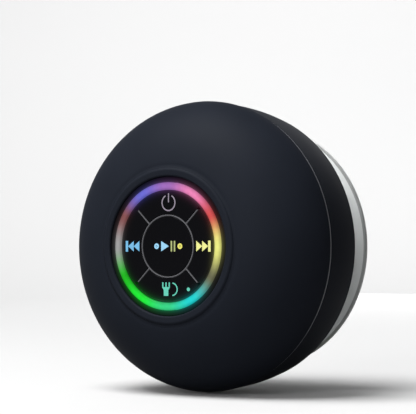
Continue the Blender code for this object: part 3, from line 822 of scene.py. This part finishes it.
class SPEAKER_OT_key_frame(bpy.types.Operator):
    """Black rim inside the light, and the thin grey ring and four spokes between the keys"""

    bl_idname = "speaker.key_frame"
    bl_label = "Key Frame"

    def execute(self, context):
        low, high = 49.3, PANEL_FACE
        half = context.scene.speaker_sizes.line_width / 2 / MM
        rim_outer = LIGHT_INNER - 0.12
        outline = rounded([
            (rim_outer, high, 0.1),
            (rim_outer, low, 0.0),
            (FIELD_RADIUS, low, 0.0),
            (FIELD_RADIUS, high, 0.1),
        ], 3)
        turned("key_rim", outline, "speaker", FINISH["smoked_panel"], ["key_frame"])
        outline = rounded([
            (LINE_RADIUS + half, high, 0.05),
            (LINE_RADIUS + half, low, 0.0),
            (LINE_RADIUS - half, low, 0.0),
            (LINE_RADIUS - half, high, 0.05),
        ], 2)
        turned("middle_line", outline, "speaker", FINISH["line"], ["key_frame"])
        length = 14.9 - LINE_RADIUS
        for i, turn in enumerate((45.0, 135.0, 225.0, 315.0)):
            x, z = around(LINE_RADIUS + length / 2, turn)
            about = Matrix.Rotation(math.radians(turn), 2)
            spoke = [about @ Vector(point) for point in rectangle(length, 2 * half)]
            outline = [(x + point.x, z + point.y) for point in spoke]
            plate(f"line_{i + 1}", [outline], low, high, "speaker", FINISH["line"],
                  ["key_frame"], edge=0.05)
        return {"FINISHED"}


class SPEAKER_OT_keys(bpy.types.Operator):
    """Round middle key and four keys round it, in smoked gloss plastic"""

    bl_idname = "speaker.keys"
    bl_label = "Keys"

    def execute(self, context):
        clear = 0.32
        rim = [circle(0.0, 0.0, LINE_RADIUS - clear, 96)]
        plate("play_key_cap", rim, KEY_FOOT, PANEL_FACE, "play_key", FINISH["smoked_panel"],
              ["play_key"], edge=0.12)
        for name, turn in OUTER_KEYS:
            outline = [sector(LINE_RADIUS + clear, FIELD_RADIUS - 0.12, clear, 0.5, turn)]
            plate(f"{name}_cap", outline, KEY_FOOT, PANEL_FACE, name, FINISH["smoked_panel"],
                  [name], edge=0.12)
        return {"FINISHED"}


class SPEAKER_OT_icons(bpy.types.Operator):
    """Thin lit symbols on the keys"""

    bl_idname = "speaker.icons"
    bl_label = "Key Symbols"

    def execute(self, context):
        self.power()
        self.skip("previous", -12.55, -1.0)
        self.skip("next", 12.75, 1.0)
        self.play_and_pause()
        self.call()
        return {"FINISHED"}

    def symbol(self, name, outlines, key, colour):
        top = PANEL_FACE + bpy.context.scene.speaker_sizes.icon_height / MM
        plate(f"symbol_{name}", outlines, PANEL_FACE - 0.1, top, key, FINISH[colour])

    def power(self):
        x, z = 0.45, 12.75
        ring = arc_band(x, z, 2.3, 0.36, 118.0, 422.0)
        bar = [(x + dx, z + 1.45 + dz) for dx, dz in rectangle(0.34, 2.7)]
        self.symbol("power", [ring, bar], "power_key", "power_key")

    def skip(self, name, middle, side):
        """Two arrow heads towards a bar: `side` is 1 for the next track and -1 for the one before."""
        height, head = 3.1, 2.05
        outlines = []
        for i in range(2):
            x = middle + side * (-2.5 + i * head)
            points = [(x, -height / 2), (x + side * head, 0.0), (x, height / 2)]
            outlines.append(points if side > 0 else points[::-1])
        outlines.append([(middle + side * 2.05 + dx, dz) for dx, dz in rectangle(0.85, 3.2)])
        self.symbol(name, outlines, f"{name}_key", f"{name}_key")

    def play_and_pause(self):
        self.symbol("play", [[(-2.15, -1.5), (0.55, 0.0), (-2.15, 1.5)]], "play_key", "play_blue")
        bars = [[(x + dx, dz) for dx, dz in rectangle(0.5, 3.1)] for x in (1.5, 2.6)]
        self.symbol("pause", bars, "play_key", "play_green")
        for name, x, colour in (("left", -3.8, "play_blue"), ("right", 4.5, "play_yellow")):
            band = arc_band(x, 0.0, 0.58, 0.5, 0.0, 359.0, 36)
            self.symbol(f"{name}_lamp_ring", [band], "play_key", colour)
            self.symbol(f"{name}_lamp", [circle(x, 0.0, 0.2, 20)], "play_key", colour)

    def call(self):
        x, z = -0.4, -12.6
        prongs = [
            [(x + step + dx, z + 1.3 + dz) for dx, dz in rectangle(0.42, 1.4)]
            for step in (-1.15, 0.0, 1.15)
        ]
        palm = [(x + dx, z + dz) for dx, dz in (
            (-1.4, 0.62), (-0.8, -0.3), (-0.8, -1.95), (0.8, -1.95), (0.8, -0.3), (1.4, 0.62))]
        crescent = arc_band(x + 2.15, z, 1.8, 0.36, -86.0, 86.0)
        self.symbol("answer", [*prongs, palm, crescent], "call_key", "call_key")
        self.symbol("answer_dot", [circle(7.5, z + 0.05, 0.55, 24)], "call_key", "call_key")


class SPEAKER_OT_suction_cup(bpy.types.Operator):
    """Pale vinyl cup with a thickened lip, its hub and its mushroom stem"""

    bl_idname = "speaker.suction_cup"
    bl_label = "Suction Cup"

    def execute(self, context):
        lip = CUP_RADIUS
        outline = rounded([
            (0.0, 16.8, 0.0),
            (5.0, 16.8, 1.0),
            (6.3, 15.8, 0.4),
            (6.3, 14.6, 0.2),
            (3.9, 14.6, 0.3),
            (3.9, 10.7, 0.3),
            (11.0, 10.7, 0.5),
            (12.0, 9.8, 0.6),
            (12.6, 7.9, 0.8),
            (15.0, 6.6, 3.0),
            (24.0, 4.7, 6.0),
            (lip, 1.0, 0.12),
            (lip, 0.0, 0.12),
            (33.4, 0.0, 0.3),
            (31.0, 0.7, 2.0),
            (26.0, 1.6, 6.0),
            (22.0, 2.0, 0.3),
            (21.2, 1.6, 0.4),
            (19.8, 1.74, 0.4),
            (19.0, 2.3, 0.3),
            (14.0, 2.8, 1.0),
            (5.0, 3.04, 0.3),
            (4.4, 2.6, 0.3),
            (0.0, 2.6, 0.0),
        ], 6, 0.05, closed=False)
        turned("cup_moulding", outline, "cup", FINISH["cup"], ["suction_cup"], closed=False)
        return {"FINISHED"}


class SPEAKER_OT_port_plug(bpy.types.Operator):
    """Rubber plug of the charging port, with a thumb ridge, and the root of its strap"""

    bl_idname = "speaker.port_plug"
    bl_label = "Port Plug"

    def execute(self, context):
        low, high = 21.95, 28.3
        self.pad("port_cover", 12.4, low, high, 1.9, "port_plug", "port_plug", True)
        self.pad("strap_root", 6.0, 20.55, 21.65, 0.3, "speaker", "plug_strap", False)
        return {"FINISHED"}

    def pad(self, name, width, low, high, fillet, body, stands_for, ridged):
        """A rubber pad bent to the shell's side between two heights, facing the -X side."""
        corners = [(x, z, fillet) for x, z in rectangle(high - low, width, (low + high) / 2, 0.0)]
        outline = rounded(corners, 6, 0.0)
        solids = [(outline, 42.05, 43.6)]
        if ridged:
            nub = [(x, z, 1.2) for x, z in rectangle(2.6, 8.2, 24.4, 0.0)]
            solids.append((rounded(nub, 5, 0.0), 40.95, 42.3))
        piece = cutter(name, solids[:1])
        piece.data.transform(TO_PORT)
        side = [(0.0, 31.0), *band_points(24, 0.12), (0.0, 16.0)]
        drum = turned("drum", side, "speaker", FINISH["rubber"], closed=False)
        apply_stack(drum)
        boolean(piece, [drum], "INTERSECT")
        if ridged:
            nub = cutter("nub", solids[1:])
            nub.data.transform(TO_PORT)
            ridge = cutter("ridge", [(capsule(7.0, 0.7, 0.0, 90.0), 42.5, 43.55)])
            ridge.data.transform(TO_PORT @ Matrix.Translation((26.8 * MM, 0.0, 0.0)))
            boolean(piece, [nub, ridge], "UNION")
        piece.data.materials.clear()
        piece.data.materials.append(FINISH["rubber"])
        bevel = piece.modifiers.new("soft edge", "BEVEL")
        bevel.width = 0.2 * MM
        bevel.segments = 3
        bevel.limit_method = "ANGLE"
        bevel.angle_limit = math.radians(50.0)
        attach(piece, body)
        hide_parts(stands_for)
        shade_by_angle(piece, 50.0)


class SPEAKER_OT_screws(bpy.types.Operator):
    """Case screws with rounded heads and cross recesses"""

    bl_idname = "speaker.screws"
    bl_label = "Case Screws"

    def execute(self, context):
        for i, turn in enumerate((90.0, 210.0, 330.0)):
            self.screw(f"shell_screw_{i + 1}", *around(36.0, turn))
        return {"FINISHED"}

    def screw(self, stands_for, x, z):
        outline = rounded([
            (0.0, 30.5, 0.0),
            (0.7, 30.5, 0.2),
            (1.0, 29.6, 0.2),
            (1.0, 19.0, 0.1),
            (2.1, 19.0, 0.15),
            (2.1, 18.2, 0.4),
            (1.3, 17.42, 0.6),
            (0.0, 17.4, 0.0),
        ], 4, 0.03, closed=False)
        piece = turned(f"{stands_for}_fine", outline, "speaker", FINISH["steel"], [stands_for],
                       closed=False)
        piece.modifiers["turn"].steps = piece.modifiers["turn"].render_steps = 48
        cross = [(rectangle(2.1, 0.5), 17.0, 18.2), (rectangle(0.5, 2.1), 17.0, 18.2)]
        boolean(piece, [cutter("cross_a", cross[:1]), cutter("cross_b", cross[1:])])
        piece.data.transform(Matrix.Translation((x * MM, 0.0, z * MM)))
        shade_by_angle(piece)


class SPEAKER_OT_inner_finishes(bpy.types.Operator):
    """Finishes of the pieces inside the case"""

    bl_idname = "speaker.inner_finishes"
    bl_label = "Inner Finishes"

    def execute(self, context):
        slots = {entry["node"]: entry["material_slot"] for entry in frame["record"]["subparts"]}
        for name, piece in frame["nodes"].items():
            finish = FINISH[SLOT_FINISH[slots[name]]]
            for slot in piece.material_slots:
                slot.material = finish
            if not piece.material_slots:
                piece.data.materials.append(finish)
        return {"FINISHED"}


SLOT_FINISH = {
    "black_soft_touch": "soft_touch",
    "black_gloss": "smoked_panel",
    "grey_line": "line",
    "light_diffuser": "light",
    "cup_vinyl": "cup",
    "seal_rubber": "rubber",
    "board_green": "board",
    "chip_black": "chip",
    "led_white": "lens",
    "battery_wrap": "wrap",
    "chassis_plastic": "chassis",
    "mesh_cloth": "mesh",
    "cone_paper": "paper",
    "magnet_ferrite": "ferrite",
    "plated_steel": "steel",
    "copper": "coil",
    "spider_cloth": "spider",
    "lead_red": "red_lead",
    "lead_black": "black_lead",
}


# ---------------------------------------------------------------- stage


class SPEAKER_OT_stage(bpy.types.Operator):
    """Pale floor and backdrop, soft lamps and the camera"""

    bl_idname = "speaker.stage"
    bl_label = "Stage"

    def execute(self, context):
        self.cove()
        self.world()
        self.lamp("key_softbox", (-0.26, -0.50, 1.1), 0.8, 76.0)
        self.lamp("fill_softbox", (0.05, -1.20, 0.36), 0.6, 19.0)
        self.lamp("side_softbox", (1.1, -0.2, 0.55), 0.6, 1.5)
        self.lamp("cup_softbox", (-0.35, 0.9, 0.05), 0.3, 1.0)
        self.lamp("back_softbox", (-0.1, 1.2, 0.6), 0.6, 2.2)
        self.lamp("backdrop_softbox", (-0.6, 0.6, 1.3), 1.2, 32.0, (-0.5, 1.7, 0.1), 120.0)
        self.camera()
        context.scene.view_settings.view_transform = "Standard"
        return {"FINISHED"}

    def cove(self):
        """A round floor under the rim that sweeps up into a low wall far away on all sides."""
        floor = -RIM_RADIUS * MM - 0.0005
        reach_out, bend, height = 1.75, 0.85, 1.2
        points = [(0.0, 0.0, floor), (reach_out - bend, 0.0, floor)]
        for i in range(1, 24):
            x, z = around(bend, -90.0 + 90.0 * i / 24)
            points.append((reach_out - bend + x, 0.0, floor + bend + z))
        points.append((reach_out, 0.0, floor + height))
        mesh = bpy.data.meshes.new("cove")
        mesh.from_pydata(points, [(i, i + 1) for i in range(len(points) - 1)], [])
        made = bpy.data.objects.new("cove", mesh)
        bpy.context.scene.collection.objects.link(made)
        turn = made.modifiers.new("turn", "SCREW")
        turn.steps = turn.render_steps = 96
        turn.use_merge_vertices = True
        turn.merge_threshold = 1e-5
        turn.use_smooth_shade = True
        paper = new_material("pale_paper", (0.5, 0.5, 0.5), 0.85, Specular_IOR_Level=0.1)
        add_bump(paper, noise(paper, 4.0), 0.05, 0.2)
        mesh.materials.append(paper)

    def world(self):
        made = bpy.data.worlds.new("studio")
        made.use_nodes = True
        sky = made.node_tree.nodes["Background"]
        sky.inputs["Color"].default_value = (0.9, 0.95, 1.0, 1.0)
        sky.inputs["Strength"].default_value = 0.1
        bpy.context.scene.world = made

    def lamp(self, name, place, size, power, target=(0.0, 0.0, 0.0), spread=180.0):
        data = bpy.data.lights.new(name, "AREA")
        data.spread = math.radians(spread)
        data.size = size
        data.energy = power
        made = bpy.data.objects.new(name, data)
        bpy.context.scene.collection.objects.link(made)
        made.location = place
        made.rotation_euler = (Vector(target) - Vector(place)).to_track_quat("-Z", "Y").to_euler()
        made.visible_camera = False

    def camera(self):
        """Half a metre from the rim's centre, level with it and round to its right."""
        data = bpy.data.cameras.new("camera")
        data.lens = 142.7
        made = bpy.data.objects.new("camera", data)
        bpy.context.scene.collection.objects.link(made)
        turn = math.radians(33.46)
        target = Vector((0.0, -RIM_HEIGHT * MM, 0.0))
        made.location = target + 0.5 * Vector((math.sin(turn), -math.cos(turn), -0.002))
        made.rotation_euler = (math.radians(91.48), 0.0, turn - math.radians(0.149))
        bpy.context.scene.camera = made


# ---------------------------------------------------------------- panel, registering and running


class SPEAKER_PT_panel(bpy.types.Panel):
    bl_label = "Shower Speaker"
    bl_idname = "SPEAKER_PT_panel"
    bl_space_type = "VIEW_3D"
    bl_region_type = "UI"
    bl_category = "Speaker"

    def draw(self, context):
        column = self.layout.column()
        for group in (context.scene.speaker_sizes, context.scene.speaker_colours, context.scene.speaker_light):
            for name in group.bl_rna.properties.keys():
                if name not in ("rna_type", "name"):
                    column.prop(group, name)
        for operator in OPERATORS:
            column.operator(operator.bl_idname)


OPERATORS = (
    SPEAKER_OT_inner_finishes,
    SPEAKER_OT_front_shell,
    SPEAKER_OT_rear_shell,
    SPEAKER_OT_seam_gasket,
    SPEAKER_OT_bezel,
    SPEAKER_OT_panel_ring,
    SPEAKER_OT_light_ring,
    SPEAKER_OT_key_frame,
    SPEAKER_OT_keys,
    SPEAKER_OT_icons,
    SPEAKER_OT_suction_cup,
    SPEAKER_OT_port_plug,
    SPEAKER_OT_screws,
    SPEAKER_OT_stage,
)
GROUPS = (SpeakerSizes, SpeakerColours, SpeakerLight)
FINISH = {}


def make_finishes():
    FINISH.update(
        soft_touch=soft_touch_finish(),
        smoked_panel=smoked_panel_finish(),
        light=light_finish(),
        line=line_finish(),
        cup=cup_finish(),
        rubber=rubber_finish(),
        # The seal is a real part; its paler grey than the shells is a painted highlight along the seam.
        seam=plastic_finish("seam_seal_painted_highlight", (0.17, 0.176, 0.2)),
        board=board_finish(),
        chip=plastic_finish("chip_black", (0.10, 0.10, 0.10)),
        lens=lens_finish(),
        wrap=wrap_finish(),
        chassis=plastic_finish("chassis_grey", (0.22, 0.22, 0.23)),
        mesh=cloth_finish("sound_cloth", (0.02, 0.02, 0.02), (0.12, 0.12, 0.12), 0.4),
        paper=plastic_finish("cone_paper", (0.13, 0.13, 0.13)),
        ferrite=plastic_finish("ferrite", (0.16, 0.16, 0.17)),
        steel=steel_finish(),
        coil=coil_finish(),
        spider=cloth_finish("spider_cloth", (0.45, 0.33, 0.15), (0.74, 0.60, 0.35), 0.5),
        red_lead=plastic_finish("red_lead", (0.66, 0.09, 0.06)),
        black_lead=plastic_finish("black_lead", (0.08, 0.08, 0.08)),
        **{key: icon_finish(key, colour) for key, colour in ICON_COLOURS.items()},
    )


def register():
    for cls in (*GROUPS, *OPERATORS, SPEAKER_PT_panel):
        bpy.utils.register_class(cls)
    bpy.types.Scene.speaker_sizes = bpy.props.PointerProperty(type=SpeakerSizes)
    bpy.types.Scene.speaker_colours = bpy.props.PointerProperty(type=SpeakerColours)
    bpy.types.Scene.speaker_light = bpy.props.PointerProperty(type=SpeakerLight)


def unregister():
    del bpy.types.Scene.speaker_light
    del bpy.types.Scene.speaker_colours
    del bpy.types.Scene.speaker_sizes
    for cls in (SPEAKER_PT_panel, *reversed(OPERATORS), *reversed(GROUPS)):
        bpy.utils.unregister_class(cls)


def main():
    register()
    make_finishes()
    for operator in OPERATORS:
        getattr(bpy.ops.speaker, operator.bl_idname.split(".")[1])()


if __name__ == "__main__":
    main()
